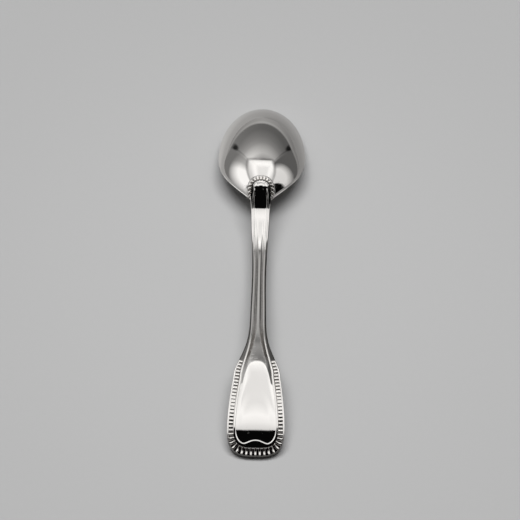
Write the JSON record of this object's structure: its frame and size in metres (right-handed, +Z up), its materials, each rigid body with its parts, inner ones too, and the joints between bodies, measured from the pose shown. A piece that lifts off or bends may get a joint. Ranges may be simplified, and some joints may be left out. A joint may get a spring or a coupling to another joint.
{
  "type": "baby spoon",
  "caption": "Polished metal baby spoon with a deep oval bowl, slim arched stem and broad rounded blade edged with a bead-and-thread border, lying face down.",
  "frame": {"origin": "middle of the spoon's outline, on the table it lies on face down", "axes": "+Y along the spoon towards the tip of the bowl, +Z up out of the back, +X across it"},
  "size_m": [0.0312, 0.145, 0.0133],
  "materials": {
    "polished_silver": "mirror polish with fine hairline scratches",
    "bead_silver": "polished tops with dark tarnish between the beads"
  },
  "bodies": {
    "root": {"bowl": "polished_silver", "stem": "polished_silver", "blade": "polished_silver", "back_thread": "polished_silver", "front_thread": "polished_silver", "heel_thread": "polished_silver", "back_bead_border": "bead_silver", "front_bead_border": "bead_silver", "heel_bead_border": "bead_silver"}
  },
  "joints": []
}
